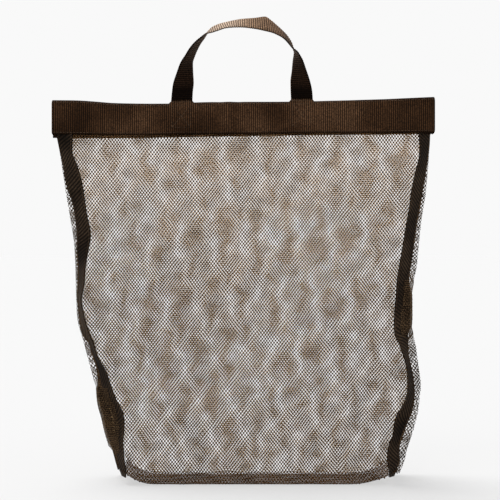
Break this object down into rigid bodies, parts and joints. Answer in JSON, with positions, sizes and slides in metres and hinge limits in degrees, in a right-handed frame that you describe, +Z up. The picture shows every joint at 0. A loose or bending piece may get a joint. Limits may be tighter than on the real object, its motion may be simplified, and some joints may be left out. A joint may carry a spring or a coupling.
{
  "type": "net cooler bag",
  "caption": "See-through net bag for cooling bottles, with a webbing rim, seam tapes, a boxed base and a webbing handle on each long side.",
  "frame": {"origin": "middle of the underside of the base net, on the floor", "axes": "+Z up, the front wall faces -Y, +X to the right as the front is seen"},
  "size_m": [0.411, 0.1242, 0.5041],
  "materials": {
    "net": "open knitted net of thin dark brown thread, diamond holes about 3.4 by 4.3 mm",
    "seam_tape": "flat woven tape, near black brown, matt",
    "rim_webbing": "ribbed webbing, dark brown, ribs upright, matt with a faint sheen",
    "handle_strap": "ribbed webbing strap, dark brown, ribs across the strap"
  },
  "bodies": {
    "base": {"base_net": "net", "left_gusset": "net", "right_gusset": "net", "left_rim_band": "rim_webbing", "right_rim_band": "rim_webbing"},
    "front_wall": {"front_net": "net", "front_left_tape": "seam_tape", "front_right_tape": "seam_tape", "front_rim_band": "rim_webbing", "front_rim_facing": "rim_webbing", "front_handle_left_end": "handle_strap", "front_handle_right_end": "handle_strap"},
    "back_wall": {"back_net": "net", "back_left_tape": "seam_tape", "back_right_tape": "seam_tape", "back_rim_band": "rim_webbing", "back_rim_facing": "rim_webbing", "back_handle_left_end": "handle_strap", "back_handle_right_end": "handle_strap"},
    "front_handle": {"front_handle": "handle_strap"},
    "back_handle": {"back_handle": "handle_strap"}
  },
  "joints": [
    {"name": "front_wall_fold", "type": "hinge", "parent": "base", "child": "front_wall", "pos_m": [0, -0.0462, 0.0013], "axis": [-1, 0, 0], "range_deg": [0, 3]},
    {"name": "back_wall_fold", "type": "hinge", "parent": "base", "child": "back_wall", "pos_m": [0, 0.0462, 0.0013], "axis": [1, 0, 0], "range_deg": [0, 3]},
    {"name": "front_handle_swing", "type": "hinge", "parent": "front_wall", "child": "front_handle", "pos_m": [-0.018, -0.0269, 0.4151], "axis": [1, 0, 0], "range_deg": [-5, 135]},
    {"name": "back_handle_swing", "type": "hinge", "parent": "back_wall", "child": "back_handle", "pos_m": [-0.018, 0.0269, 0.4151], "axis": [-1, 0, 0], "range_deg": [0, 165]}
  ]
}
